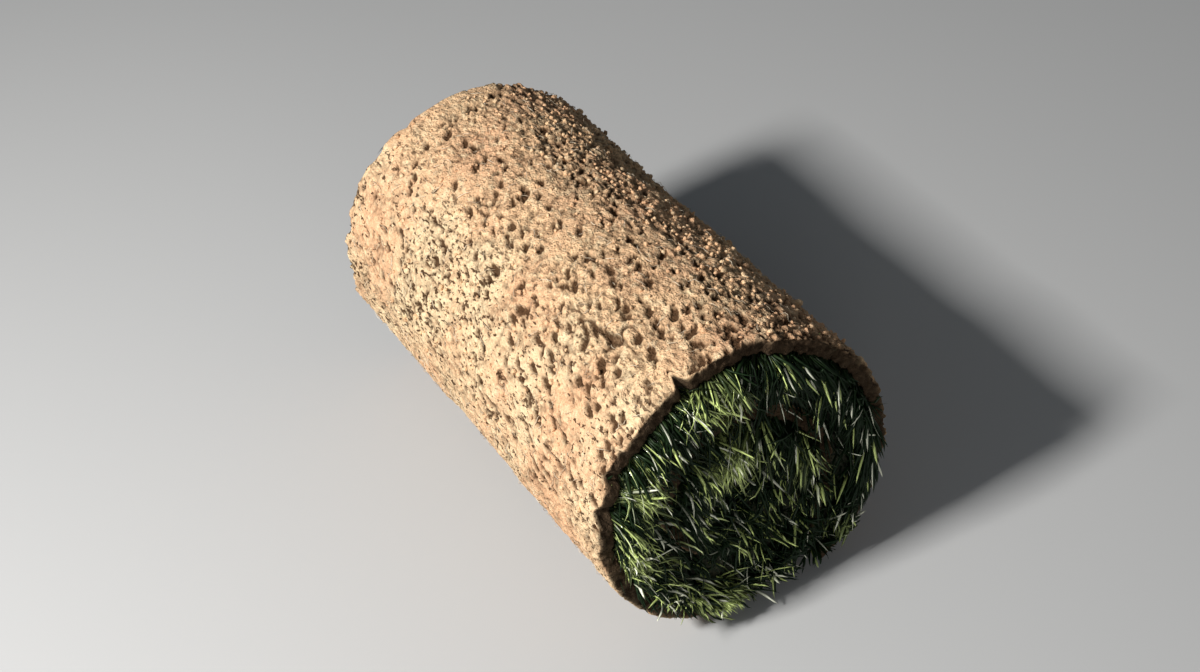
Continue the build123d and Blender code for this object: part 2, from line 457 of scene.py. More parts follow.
def closed_loop(width, soil, step, deep_step):
    """Rounded rectangle as y, depth, outward y and outward depth: the strip's section across its length.

    Each side is a straight run, and a quarter circle about the corner's centre follows it. The outward
    direction turns by a right angle from one side to the next. The inner face is fine near the two ends
    and coarse between them.
    """
    half, outer, inner = width / 2, OUTER_CORNER, INNER_CORNER
    face = np.linspace(-half + outer, half - outer, max(3, round((width - 2 * outer) / step)))
    side = np.linspace(outer, soil - inner, 8)
    near = np.arange(half - inner, half - EDGE_BAND, -deep_step)
    under = np.concatenate([near, np.linspace(near[-1], -near[-1], 12)[1:-1], -near[::-1]])
    quarter = np.linspace(0, pi / 2, 4)
    out_y, out_depth = np.append(0.0, np.sin(quarter)), np.append(-1.0, -np.cos(quarter))
    runs = []
    for y, depth, corner_y, corner_depth, radius in (
        (face, 0 * face, half - outer, outer, outer),
        (0 * side + half, side, half - inner, soil - inner, inner),
        (under, 0 * under + soil, -half + inner, soil - inner, inner),
        (0 * side - half, side[::-1], -half + outer, outer, outer),
    ):
        run = [y, depth, np.full(len(y), out_y[0]), np.full(len(y), out_depth[0])]
        corner = [corner_y + radius * out_y[1:], corner_depth + radius * out_depth[1:]]
        runs += [np.array(run), np.array([*corner, out_y[1:], out_depth[1:]])]
        out_y, out_depth = -out_depth, out_y
    loop = np.concatenate(runs, axis=1)
    kept = np.linalg.norm(loop[:2] - np.roll(loop[:2], 1, axis=1), axis=0) > 1e-6
    return loop[:, kept]


def tube(rings):
    """Quads between neighbouring rings, which are rows of the points' numbers."""
    following = np.roll(rings, -1, axis=1)
    return np.stack([rings[:-1], following[:-1], following[1:], rings[1:]], -1).reshape(-1, 4)


def skin_faces(rows, columns):
    """Quads between neighbouring rows of closed loops, and one face across each open end."""
    index = np.arange(rows * columns).reshape(rows, columns)
    return tube(index).tolist() + [index[0][::-1].tolist(), index[-1].tolist()]


def repeated(faces, count, points):
    """One thing's faces, repeated for a count of like things that have so many points each."""
    start = (np.arange(count) * points)[:, None, None]
    return (np.array(faces) + start).reshape(-1, len(faces[0])).tolist()


def strand_faces(count, rings, pointed):
    """Faces of like three-sided strands: quads, a triangle at the root and another or a point at the top."""
    ring = np.arange(3 * rings).reshape(rings, 3)
    root, top = ring[0][::-1], ring[-1]
    tip = np.stack([top, np.roll(top, -1), np.full(3, 3 * rings)], -1)
    ends = [*tip, root] if pointed else [root, top]
    each = 3 * rings + pointed
    return repeated(tube(ring), count, each) + repeated(ends, count, each)


def three_sided(spine, side, ridge, half, high):
    """Points of triangles along lines: half a width to either side, and part of that up to a ridge."""
    corners = [spine - side * half, spine + side * half, spine + ridge * half * high]
    return np.stack(corners, 2).reshape(len(spine), -1, 3)


def new_object(name, data):
    """Object of some data, in the scene."""
    made = bpy.data.objects.new(name, data)
    bpy.context.scene.collection.objects.link(made)
    return made


def new_piece(name, points, faces, material, marks, clear=SOIL_CLEAR, end_ring=0):
    """Mesh object of points and faces, with numbers on its points, facing outwards and riding on the body.

    Points lower than its clear height over the floor are raised to it. End ring is the number of points
    round each open end of a band.
    """
    points = points.reshape(-1, 3)
    points[:, 2] = np.maximum(points[:, 2], clear)
    mesh = bpy.data.meshes.new(name)
    mesh.from_pydata(points.tolist(), [], faces)
    mesh.update()
    if enclosed(points, faces) < 0:
        mesh.flip_normals()
    for mark, values in marks.items():
        attribute = mesh.attributes.new(mark, "FLOAT", "POINT")
        attribute.data.foreach_set("value", np.ascontiguousarray(values, np.float32).ravel())
    mesh.shade_smooth()
    if end_ring:
        hold_end_edges(mesh, end_ring)
    piece = new_object(name, mesh)
    mesh.materials.append(material)
    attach(piece, BODY)
    return piece


def enclosed(points, faces):
    """Six times the volume inside the faces: the sum of each fan triangle's triple product."""
    total = 0.0
    for count in sorted({len(face) for face in faces}):
        corner = points[np.array([face for face in faces if len(face) == count])]
        for k in range(1, count - 1):
            total += np.einsum("ij,ij->", corner[:, 0], np.cross(corner[:, k], corner[:, k + 1]))
    return total


def hold_end_edges(mesh, columns):
    """Marks the edges round the two end faces as sharp, so that a band's skin isn't shaded into them."""
    pairs = np.empty(len(mesh.edges) * 2, np.int32)
    mesh.edges.foreach_get("vertices", pairs)
    pairs = pairs.reshape(-1, 2)
    last = len(mesh.vertices) - columns
    sharp = (pairs < columns).all(axis=1) | (pairs >= last).all(axis=1)
    attribute = mesh.attributes.new("sharp_edge", "BOOLEAN", "EDGE")
    attribute.data.foreach_set("value", sharp)


def end_wear(roll, angle, end):
    """How far the soil is broken back from one end of the roll, at each winding angle.

    It is small ragged noise along the strip, plus notches in the outer turn, each a bell curve about
    its own place. The turns inside the outer one are broken back farther.
    """
    along = roll.along(angle)
    line = np.stack([along, 0 * along + end * 3.0, 0 * along], -1)
    wear = 0.0016 + 0.0012 * swells(line, 0.03, 21) + 0.0009 * swells(line, 0.009, 22)
    wear += 0.006 * smooth(swells(line, 0.05, 23) - 0.35, 0.3) + 0.006 * smooth(roll.lap - angle)
    for lean, deep, wide in NOTCHES[end]:
        off = (roll.lean(angle) - lean) * roll.radius(angle)
        wear = wear + (angle > roll.lap) * deep * np.exp(-((off / wide) ** 2))
    return wear


def roughness_of(roll, angle, y):
    """How crumbly the soil is: broad noise, and more over the top away from -X.

    Beside the ends it is frayed, but on top of the roll it is pressed smooth there.
    """
    along = roll.along(angle)
    lean = roll.lean(angle)
    from_end = roll.width / 2 - np.abs(y)
    on_top = smooth(0.95 - lean, 0.4) * smooth(lean + 0.45, 0.4)
    frayed = 0.35 * smooth(0.035 - from_end, 0.03) * (1 - on_top)
    pressed = 0.55 * smooth(0.07 - from_end, 0.045) * on_top
    rough = 0.82 + 0.35 * swells(np.stack([along, y, 0 * along], -1), 0.11, 31)
    rough += 0.52 * smooth(-lean + 0.1, 0.5) * smooth(lean + 2.4, 0.6)
    rough += frayed - pressed
    return np.maximum(rough, 0.1)


def dented(roll, angle, y):
    """How far hollows cut in below the soil's outer face: to where the inward line leaves a ball."""
    face = roll.face(angle)
    out = outward(angle)
    deepest = np.full(np.broadcast(angle, y).shape, -1.0)
    for back, place, depth in DENTS:
        away = face - roll.face(roll.end - radians(back), depth - DENT_BEND)
        along_out = np.sum(away * out, -1)
        square = along_out**2 - np.sum(away**2, -1) - (y - place) ** 2 + DENT_BEND**2
        near = (along_out < 0) & (square > 0)
        deepest = np.maximum(deepest, np.where(near, along_out + np.sqrt(np.maximum(square, 0)), -1.0))
    return (deepest + np.sqrt(deepest**2 + DENT_RIM**2)) / 2 * (angle > roll.lap)


def skin_height(roll, soil, angle, y):
    """Height of the finished outer face over the plain one, at single places."""
    relief, _, _ = soil_relief(roll.along(angle), y, 0 * y, roughness_of(roll, angle, y), soil)
    return relief - dented(roll, angle, y)


def wound_band(roll, soil, name, first, last, steps, material, wet_and_shade=0.93, round_last=False):
    """One closed band of the wound soil: the rounded section carried along the winding, with its relief.

    Steps are the distances between points across the outer face, across the inner face's fine parts
    and along the strip. The argument after the material says how dark the cut ends are made, partly as
    moist soil and partly as painted shade, and the strip's last end can be rounded.
    """
    step, deep_step, along_step = steps
    begin, finish = roll.along(first), roll.along(last)
    rows = max(2, round(float(finish - begin) / along_step))
    angle = roll.angle_at(np.linspace(begin, finish, rows), first, last)
    y, depth, out_y, out_depth = closed_loop(roll.width, roll.soil, step, deep_step)
    angle, y = np.broadcast_arrays(angle[:, None], y[None])
    depth, out_y, out_depth = (np.broadcast_to(part, y.shape) for part in (depth, out_y, out_depth))
    along = roll.along(angle)
    if round_last:
        from_last = np.clip((roll.along(roll.end) - along) / 0.007, 0, 1)
        thinned = 0.3 + 0.7 * np.sqrt(1 - (1 - from_last) ** 2)
        depth = roll.soil / 2 + (depth - roll.soil / 2) * thinned
    height, hollow, number = soil_relief(along, y, depth, roughness_of(roll, angle, y), soil)
    y = worn_ends(roll, angle, y)
    sunk = dented(roll, angle, y) * (1 - depth / roll.soil)
    points = roll.place(roll.face(angle, depth + sunk), y)
    normal = unit(out_y[..., None] * LONG - out_depth[..., None] * roll.out(angle))
    cut = np.abs(out_y)
    points = points + normal * (height * (1 - 0.35 * cut))[..., None]
    # The cut ends and the hidden inner face are darkened: partly moist soil, partly painted shade
    damp = np.clip(cut * wet_and_shade + smooth(depth / roll.soil * 1.4 - 0.2) * 0.7, 0, 1)
    # Painted light by side: 0 on the -X side, which faces the key lamp, and 1 over the top and on +X
    red = smooth(0.72 - roll.lean(angle), 0.5)
    marks = {"hollow": hollow, "grain": number, "damp": damp, "red": red}
    return new_piece(name, points, skin_faces(*y.shape), material, marks, end_ring=y.shape[1])


def worn_ends(roll, angle, y):
    """Draws the columns beside each end back by that end's wear, fading out over 60 mm."""
    half, fade = roll.width / 2, 0.06
    for end in (FRONT, BACK):
        beside = smooth(y * end - half + fade, fade)
        y = y - end * beside * end_wear(roll, angle, end)
    return y


def blades(name, spine, width, facing, material, marks):
    """Grass blades about their middle lines.

    Each ring is a flat triangle across the line, widest at the second ring. A face closes the root and
    the tip is a point.
    """
    count, rings = len(spine), len(BLADE_WIDTHS)
    heading = unit(np.gradient(spine, axis=1))
    side = unit(np.cross(heading, facing[:, None]))
    ridge = np.cross(side, heading)
    half = width[:, None, None] / 2 * BLADE_WIDTHS[None, :, None]
    section = three_sided(spine[:, :-1], side[:, :-1], ridge[:, :-1], half, 0.34)
    points = np.concatenate([section, spine[:, -1:]], 1)
    on_points = {mark: np.repeat(values, 3 * rings + 1) for mark, values in marks.items()}
    on_points["along"] = np.tile(np.append(np.repeat(BLADE_PLACES[:-1], 3), 1.0), count)
    return new_piece(name, points, strand_faces(count, rings, True), material, on_points, GRASS_CLEAR)


def held_at_end(roll, end, proud, spine):
    """Keeps blades at the roll's end: past it they are pressed back, and so they are past its outline.

    What is left past the outline is a hyperbolic tangent, and past the end one less an exponential.
    The eye stays open: what reaches into it is moved most of the way out.
    """
    centre, reach = (roll.low + roll.high) / 2, (roll.high - roll.low) / 2
    most = 0.95 if end == FRONT else 0.9
    off = np.hypot((spine[..., 0] - centre[0]) / reach[0], (spine[..., 2] - centre[2]) / reach[2])
    kept = np.where(off > most, most + 0.045 * np.tanh((off - most) / 0.1), off) / np.maximum(off, 1e-6)
    for axis in (0, 2):
        spine[..., axis] = centre[axis] + (spine[..., axis] - centre[axis]) * kept
    past = np.maximum(spine[..., 1] * end - roll.width / 2, 0)
    spine[..., 1] -= end * (past - proud * (1 - np.exp(-past / proud)))
    away = spine - roll.eye_at
    away[..., 1] = 0
    push = np.maximum(0, roll.eye * 0.75 - np.linalg.norm(away, axis=-1)) * 0.85
    return spine + unit(away) * push[..., None]


def blade_colours(rng, roots, middle, seed, end, lit_side):
    """How bright each blade is, and how far it is withered grass and painted glint, from 0 to 1.

    Bright blades stand in patches of noise and more often on the -X side, which faces the key lamp, so
    that there they are partly painted sunlight. At the front end, at -Y, tufts are brightened as painted
    sunlight or darkened as painted shade, each by a bell curve about its own place.
    """
    count = len(roots)
    place = np.stack([roots[:, 0], roots[:, 2], 0 * lit_side], -1)
    patch = swells(place, 0.045, seed + 9) + 0.5 * swells(place, 0.018, seed + 10)
    often = 0.02 + 0.045 * lit_side + 0.38 * np.maximum(patch - 0.12, 0) * (0.4 + 0.6 * lit_side)
    bright = rng.uniform(0, 1, count) < often
    high = rng.uniform(0.5, 1.0, count)
    tone = np.where(bright, high, 0.12 * rng.beta(1.0, 3.0, count) + 0.03 * np.maximum(patch, 0))
    # Pale blades: partly withered grass, partly painted glints, more of them on the -X side
    straw_and_glint = rng.uniform(0, 1, count) < 0.035 + 0.045 * lit_side
    dry = np.where(straw_and_glint, rng.uniform(0.5, 1.0, count), 0.0)
    # Painted sunlight on the bright tufts and painted shade on the dark ones
    for across_x, up_z, reach, gain in LIT_AND_SHADED_TUFTS if end == FRONT else ():
        off = np.hypot(middle[:, 0] - across_x, middle[:, 2] - up_z) / reach
        tone = np.clip(tone + gain * np.exp(-(off**2)) * rng.uniform(0, 1.4, count), 0, 1)
        dry = np.clip(dry + min(gain, 0) * np.exp(-(off**2)), 0, 1)
    return tone, dry


def grass_end(roll, grass, name, end, count, seed, material):
    """Blades at one end of the roll, rooted on the soil's inner face and springing out of the end.

    A blade starts inwards from its soil and outwards along the roll, and ends drooping. Its middle line
    is its root plus length times (t first + t squared / 2 (last - first)). Neighbours lean alike, by
    noise over their roots, so that they hang in locks. From a fifth to half of them are loose, more
    where there is more room, and these start anywhere in the grass between the turns.
    """
    rng = np.random.default_rng(seed)

    def pick(low, high):
        """A random number for each blade, as a column."""
        return rng.uniform(low, high, (count, 1))

    strip = rng.uniform(0, roll.along(roll.end - 0.02), count)
    angle = roll.angle_at(strip, 0, roll.end)
    room = roll.room(angle)
    loose = rng.uniform(0, 1, count) < 0.2 + 0.35 * smooth(room - 0.06, 0.04)
    inset = grass.depth * np.where(loose, rng.uniform(0.15, 1, count), rng.uniform(0, 1, count) ** 1.4)
    raised = np.where(loose, rng.uniform(0, 1.0, count) * room, 0)
    edge = roll.width / 2 - end_wear(roll, angle, end) - 0.001
    roots = roll.place(roll.face(angle, roll.soil - 0.001 + raised), end * (edge - inset))

    inward = -roll.out(angle)
    across = np.cross(inward, LONG)
    spring = end * LONG
    lock = np.stack([roll.along(angle), inset * 0.6, raised], -1)
    swing = [swells(lock, size, seed + k)[:, None] for k, size in enumerate((0.024, 0.024, 0.05, 0.011))]
    free = np.clip(room / roll.gap, 0.12, 1.0)[:, None]
    spare = rng.normal(0, 1, (count, 3)) * np.where(loose, 0.42, 0.16)[:, None]
    first = inward * pick(0.3, 1.0) * free + spring * (pick(0.25, 0.9) + 0.3 * swing[1])
    last = inward * pick(-0.15, 0.5) * free + spring * (pick(0.1, 0.8) + 0.3 * swing[1])
    last = last - UP * pick(0.4, 1.6) * (0.6 + 0.4 * free)
    first = unit(first + across * (0.7 * swing[0] + 0.25 * swing[3]) + spare)
    last = unit(last + across * (0.9 * swing[0] + 0.7 * swing[2] - 0.15) + spare * 1.4)
    length = grass.long_blade * (0.55 + 0.95 * rng.beta(2.2, 3.0, count)) * (0.55 + 0.45 * free[:, 0])
    width = grass.wide_blade * rng.uniform(0.5, 1.3, count)
    facing = unit(rng.normal(0, 0.6, (count, 3)) + spring + inward * 0.4)

    # The -X side faces the key lamp: more bright blades there, as painted sunlight
    lit_side = smooth(0.12 - roots[:, 0], 0.22)
    middle = roots + first * length[:, None] * 0.5
    tone, dry = blade_colours(rng, roots, middle, seed, end, lit_side)
    shown = np.maximum(tone, dry)
    last = unit(last + spring * ((0.6 + 0.9 * lit_side) * shown)[:, None])
    proud = grass.proud * (1.0 if end == FRONT else 0.8) * (0.45 + 0.55 * np.sqrt(shown))[:, None]
    t = BLADE_PLACES[None, :, None]
    run = t * first[:, None] + t * t / 2 * (last - first)[:, None]
    spine = held_at_end(roll, end, proud, roots[:, None] + length[:, None, None] * run)
    return blades(name, spine, width, facing, material, {"tone": tone, "dry": dry})


def thatch_bed(roll, material):
    """Matted stems between the turns, behind the blades: a closed band whose thickness is the room there."""
    fine = np.linspace(0.0, roll.end - 0.03, 420)
    half = roll.width / 2 - 0.019
    rim = half - 0.05
    across = [np.linspace(-half, -rim, 10), np.linspace(-rim, rim, 10)[1:-1], np.linspace(rim, half, 10)]
    across = np.concatenate(across)
    deep = np.linspace(0, 1, 14)[1:-1]
    y = np.concatenate([across, 0 * deep + half, across[::-1], 0 * deep - half])
    part = np.concatenate([0 * across, deep, 0 * across + 1, deep[::-1]])
    angle, y = np.broadcast_arrays(fine[:, None], y[None])
    room = roll.room(fine)[:, None]
    points = roll.place(roll.face(angle, roll.soil - 0.001 + part * (room + 0.001)), y)
    lumpy = swells(points, 0.012, 41) * 0.003 + swells(points, 0.005, 42) * 0.0015
    ends = smooth(np.abs(y) - half + 0.004, 0.004)
    sunk = 0.006 * np.sin(pi * part) * ends
    points[..., 1] += np.sign(y) * (ends * lumpy * 1.5 + sunk)
    # Painted shade, from the same noise that sinks the bed's ends
    marks = {"hollow": smooth(0.5 - lumpy / 0.006)}
    return new_piece("thatch", points, skin_faces(*y.shape), material, marks, GRASS_CLEAR)


def rootlets(roll, soil, seed, count, material):
    """Fine roots on the soil's outer face: each is a thin closed strand on a bent line over the face."""
    rng = np.random.default_rng(seed)
    rings = len(ROOT_WIDTHS)
    angle = rng.uniform(roll.lap + 0.1, roll.end - 0.05, count)
    y = rng.uniform(-0.5, 0.5, count) * (roll.width - 0.03)
    length = rng.uniform(0.007, 0.024, count)
    heading = rng.uniform(0, FULL_TURN, count)
    bend = rng.normal(0, 1.1, count)
    stations = np.linspace(0, 1, rings)
    turned = heading[:, None] + bend[:, None] * stations
    run_s = np.cumsum(np.cos(turned), 1) * length[:, None] / rings
    run_y = np.cumsum(np.sin(turned), 1) * length[:, None] / rings
    lift = 0.0012 + 0.0016 * np.sin(pi * stations) * rng.uniform(0.2, 1.0, (count, 1))
    strand = np.minimum(angle[:, None] + run_s / roll.radius(angle)[:, None], roll.end - 0.001)
    line_y = np.clip(y[:, None] + run_y, -0.5 * roll.width + 0.003, 0.5 * roll.width - 0.003)
    lift = lift + skin_height(roll, soil, strand, line_y)
    spine = roll.place(roll.face(strand, -lift), line_y)
    out = roll.out(strand)
    side = np.cross(unit(np.gradient(spine, axis=1)), out)
    thick = rng.uniform(0.00022, 0.0004, count)[:, None, None] * ROOT_WIDTHS[None, :, None]
    tone = np.repeat(rng.uniform(0, 1, count), 3 * rings)
    points = three_sided(spine, side, out, thick, 1.4)
    return new_piece("rootlets", points, strand_faces(count, rings, False), material, {"tone": tone})


def block():
    """Cube with each side in four: its 26 points, and its faces as rings of their numbers."""
    cube = [corner for corner in product((-1.0, 0.0, 1.0), repeat=3) if any(corner)]
    number = {corner: k for k, corner in enumerate(cube)}
    faces = []
    for axis, side, b, a in product(range(3), (-1.0, 1.0), (-1.0, 0.0), (-1.0, 0.0)):
        ring = [(a, b), (a + 1, b), (a + 1, b + 1), (a, b + 1)]
        corners = [number[pair[:axis] + (side,) + pair[axis:]] for pair in ring]
        faces.append(corners if (side > 0) == (axis != 1) else corners[::-1])
    return np.array(cube), faces


def crumbs(roll, soil, seed, count, material):
    """Loose crumbs on the soil: each is a ball of 26 points, made uneven, squashed and turned at random."""
    rng = np.random.default_rng(seed)
    chance = rng.uniform(0, 1, count)
    lean = np.where(chance < 0.62, rng.normal(-0.75, 0.35, count), rng.uniform(-1.6, 1.5, count))
    outer = np.linspace(roll.lap + 0.02, roll.end - 0.05, FINE)
    order = np.argsort(roll.lean(outer))
    angle = np.interp(lean, roll.lean(outer)[order], outer[order])
    y = rng.uniform(-0.5, 0.5, count) * (roll.width - 0.02)
    size = 0.0016 + 0.0034 * rng.beta(1.2, 4.0, count)
    cube, faces = block()
    each = len(cube)
    lumpy = 1 + rng.uniform(-0.28, 0.22, (count, each, 1))
    stretch = rng.uniform(0.65, 1.25, (count, 1, 3))
    turned, _ = np.linalg.qr(rng.normal(0, 1, (count, 3, 3)))
    turned *= np.sign(np.linalg.det(turned))[:, None, None]
    shape = (unit(cube)[None] * lumpy * stretch) @ turned * size[:, None, None]
    base = roll.place(roll.face(angle, -size * 0.15 - skin_height(roll, soil, angle, y)), y)
    grain = np.repeat(rng.uniform(0, 1, count), each)
    # Loose crumbs get no painted shade and are coloured as on the side away from the key lamp
    marks = {"hollow": 0 * grain, "grain": grain, "damp": 0 * grain, "red": 0 * grain + 1}
    return new_piece("crumbs", base[:, None] + shape, repeated(faces, count, each), material, marks)


# Materials


def plug(tree, socket, value):
    """Links a socket to an input, or sets it to a number or colour."""
    if isinstance(value, bpy.types.NodeSocket):
        tree.links.new(value, socket)
    elif hasattr(value, "__len__"):
        socket.default_value = (*value, 1.0)[: len(socket.default_value)]
    else:
        socket.default_value = value


def add(tree, kind, inputs=None, **settings):
    """New node of one kind, in rows of eight. Settings are its own properties, and inputs are plugged."""
    made = len(tree.nodes)
    node = tree.nodes.new(kind)
    node.location = (made % 8 * 220, made // 8 * -320)
    for setting, value in settings.items():
        setattr(node, setting, value)
    for name, value in (inputs or {}).items():
        plug(tree, node.inputs[name], value)
    return node


def sums(tree, operation, first, second, clamp=False):
    """Math of two values. It returns the result's socket, as all functions down to mixed_in do."""
    return add(tree, "ShaderNodeMath", {0: first, 1: second}, operation=operation, use_clamp=clamp).outputs[0]


def spread(tree, value, low, high):
    """Maps a value from between low and high to between 0 and 1."""
    inputs = {"Value": value, "From Min": low, "From Max": high}
    return add(tree, "ShaderNodeMapRange", inputs).outputs["Result"]


def noise(tree, where, scale, detail, roughness=0.5):
    """Noise over a surface, mostly from 0.3 to 0.7."""
    inputs = {"Vector": where, "Scale": scale, "Detail": detail, "Roughness": roughness}
    return add(tree, "ShaderNodeTexNoise", inputs).outputs["Fac"]


def object_place(tree):
    """Place in the object's own frame."""
    return add(tree, "ShaderNodeTexCoord").outputs["Object"]


def read_mark(tree, name):
    """A number kept on the mesh's points."""
    return add(tree, "ShaderNodeAttribute", attribute_name=name).outputs["Fac"]


def bumped(tree, height, strength, distance):
    """Normal of a surface that is raised by a height, times a distance in metres."""
    inputs = {"Strength": strength, "Distance": distance, "Height": height}
    return add(tree, "ShaderNodeBump", inputs).outputs["Normal"]


def mixed_in(tree, colour, *layers):
    """A colour with others laid over it: each has a factor, how much of that counts, and a colour."""
    for factor, most, over in layers:
        part = factor if most == 1 else sums(tree, "MULTIPLY", factor, most)
        node = add(tree, "ShaderNodeMix", {"Factor": part, "A": colour, "B": over}, data_type="RGBA")
        colour = node.outputs["Result"]
    return colour


def grain_group():
    """Node group: fine grain over a surface. Light and dark grains are the two ends of a noise.

    The bump height is that noise less 0.7 times the distance to grains that stand farther apart.
    """
    tree = bpy.data.node_groups.new("Fine grain", "ShaderNodeTree")
    for name, side, kind in (
        ("Vector", "INPUT", "Vector"),
        ("Grains per metre", "INPUT", "Float"),
        ("Light", "OUTPUT", "Float"),
        ("Dark", "OUTPUT", "Float"),
        ("Height", "OUTPUT", "Float"),
    ):
        tree.interface.new_socket(name, in_out=side, socket_type="NodeSocket" + kind)
    tree.interface.items_tree["Grains per metre"].default_value = 400.0
    inside = add(tree, "NodeGroupInput").outputs
    where, per_metre = inside["Vector"], inside["Grains per metre"]
    level = noise(tree, where, per_metre, 3.0, 0.62)
    fewer = sums(tree, "MULTIPLY", per_metre, 0.55)
    cells = add(tree, "ShaderNodeTexVoronoi", {"Vector": where, "Scale": fewer, "Randomness": 1.0})
    results = {
        "Light": spread(tree, level, 0.5, 0.78),
        "Dark": spread(tree, level, 0.46, 0.26),
        "Height": sums(tree, "ADD", sums(tree, "MULTIPLY", cells.outputs["Distance"], -0.7), level),
    }
    add(tree, "NodeGroupOutput", results)
    return tree


def grain(tree, per_metre):
    """Outputs of the shared fine grain group, which is made on first use."""
    group = bpy.data.node_groups.get("Fine grain") or grain_group()
    inputs = {"Vector": object_place(tree), "Grains per metre": per_metre}
    return add(tree, "ShaderNodeGroup", inputs, node_tree=group).outputs


def new_material(name):
    """Empty material, and its tree."""
    material = bpy.data.materials.new(name)
    material.use_nodes = True
    material.node_tree.nodes.clear()
    return material, material.node_tree


def surfaced(material, inputs):
    """The material with a Principled BSDF, whose inputs are plugged, as its surface."""
    shader = add(material.node_tree, "ShaderNodeBsdfPrincipled", inputs)
    add(material.node_tree, "ShaderNodeOutputMaterial", {"Surface": shader.outputs["BSDF"]})
    return material


def soil_material(soil):
    """Dry, crumbly soil: tan with redder and paler patches, pale and dark crumbs, and dark speck marks and
    creases, which are painted shade.

    The cut ends and the inner face are dark, partly as moist soil and partly as painted shade. The paler
    patches lie only on the -X side, which faces the key lamp, as painted highlight. On the -X side the
    painted shade of the speck marks is darkest; over the top and on +X there is less of it, which lightens
    that side as painted light.
    """
    material, tree = new_material("Cut soil")
    where = object_place(tree)
    patch = noise(tree, where, 9.0, 3.0)
    mottle = noise(tree, where, 70.0, 4.0, 0.6)
    drawn_out = add(tree, "ShaderNodeMapping", {"Vector": where, "Scale": (1.0, 0.5, 1.0)})
    speck = noise(tree, drawn_out.outputs["Vector"], 210.0, 2.0, 0.6)
    fine, coarse = grain(tree, 620.0), grain(tree, 260.0)
    red, number, hollow, damp = (read_mark(tree, name) for name in ("red", "grain", "hollow", "damp"))
    # Speck marks are small pits: the bump sinks them, and the colour there is darkened as painted shade
    speck = sums(tree, "ADD", speck, sums(tree, "MULTIPLY", patch, 0.3))
    # Painted light by side: fewer dark speck marks over the top and on +X, and the paler patches only on the
    # -X side, as painted highlight
    fewer = sums(tree, "SUBTRACT", 0.94, sums(tree, "MULTIPLY", red, 0.45))
    speck_shade = sums(tree, "MULTIPLY", spread(tree, speck, 0.562, 0.502), fewer)
    cream_and_highlight = sums(tree, "SUBTRACT", spread(tree, patch, 0.62, 0.4), red, clamp=True)
    colour = mixed_in(
        tree,
        soil.base,
        (spread(tree, patch, 0.42, 0.62), 1, soil.warm),
        (cream_and_highlight, 0.5, soil.pale),
        (spread(tree, number, 0.55, 1.0), 0.5, soil.pale),
        (spread(tree, number, 0.3, 0.0), 0.4, soil.warm),
        (fine["Light"], 0.75, soil.pale),
        (coarse["Dark"], 0.32, soil.deep),
        (fine["Dark"], 0.42, soil.deep),
        (spread(tree, mottle, 0.52, 0.36), 0.2, soil.deep),
        # Painted shade in the speck marks
        (speck_shade, 1, soil.deep),
        # Painted shade in the creases, slits, pits and cracks
        (hollow, 0.96, soil.deep),
        # Cut ends and inner face: partly moist soil, partly painted shade
        (damp, 0.96, soil.dark),
    )
    height = sums(tree, "ADD", sums(tree, "MULTIPLY", coarse["Height"], 1.6), fine["Height"])
    normal = bumped(tree, sums(tree, "SUBTRACT", height, speck_shade), 1.0, 0.0016)
    inputs = {"Base Color": colour, "Roughness": 0.92, "Specular IOR Level": 0.12, "Normal": normal}
    return surfaced(material, inputs)


def thatch_material():
    """Matted stems and dead leaf between the turns, dark and brown: a shaded and a lit copy of the stem
    colour mixed by the grain, as painted shade and light, and painted shade where the bed is sunk.
    """
    material, tree = new_material("Thatch")
    fine = grain(tree, 300.0)
    hollow = read_mark(tree, "hollow")
    colour = mixed_in(tree, STEM_SHADE, (fine["Light"], 1, STEM), (hollow, 1, THATCH_HOLLOW_SHADE))
    normal = bumped(tree, fine["Height"], 1.0, 0.002)
    return surfaced(material, {"Base Color": colour, "Roughness": 0.9, "Normal": normal})


def grass_material(grass):
    """Blades from dark to yellow green by each one's own number: the dark leaf holds painted shade, and the
    brightest blades partly painted sunlight. They are darker at the foot with painted shade, and some of them
    are pale withered blades, partly as painted glints.

    The brighter ones are glossy.
    """
    material, tree = new_material("Grass blade")
    tone, dry, along = (read_mark(tree, name) for name in ("tone", "dry", "along"))
    fine = grain(tree, 260.0)
    colour = mixed_in(
        tree,
        grass.leaf,
        # The brightest blades: partly painted sunlight
        (spread(tree, tone, 0.12, 0.85), 1, grass.young),
        # Painted shade towards each blade's foot
        (spread(tree, along, 0.45, 0.0), 0.75, BLADE_FOOT_SHADE),
        (fine["Dark"], 0.35, BLADE_SPOT),
        # Withered blades, partly painted glints
        (dry, spread(tree, along, 0.1, 0.7), grass.straw_and_glint),
    )
    inputs = {
        "Base Color": colour,
        "Roughness": 0.42,
        "Specular IOR Level": 0.16,
        "Coat Weight": spread(tree, tone, 0.1, 0.6),
        "Coat Roughness": 0.16,
        "Normal": bumped(tree, fine["Height"], 0.25, 0.0004),
    }
    return surfaced(material, inputs)


def root_material():
    """Fine roots, from brown to pale straw."""
    material, tree = new_material("Root fibre")
    colour = mixed_in(tree, ROOT_BROWN, (read_mark(tree, "tone"), 1, ROOT_STRAW))
    return surfaced(material, {"Base Color": colour, "Roughness": 0.7})


def soil_skin(settings):
    """The soil material, made on first use."""
    return bpy.data.materials.get("Cut soil") or soil_material(settings)


# Operators


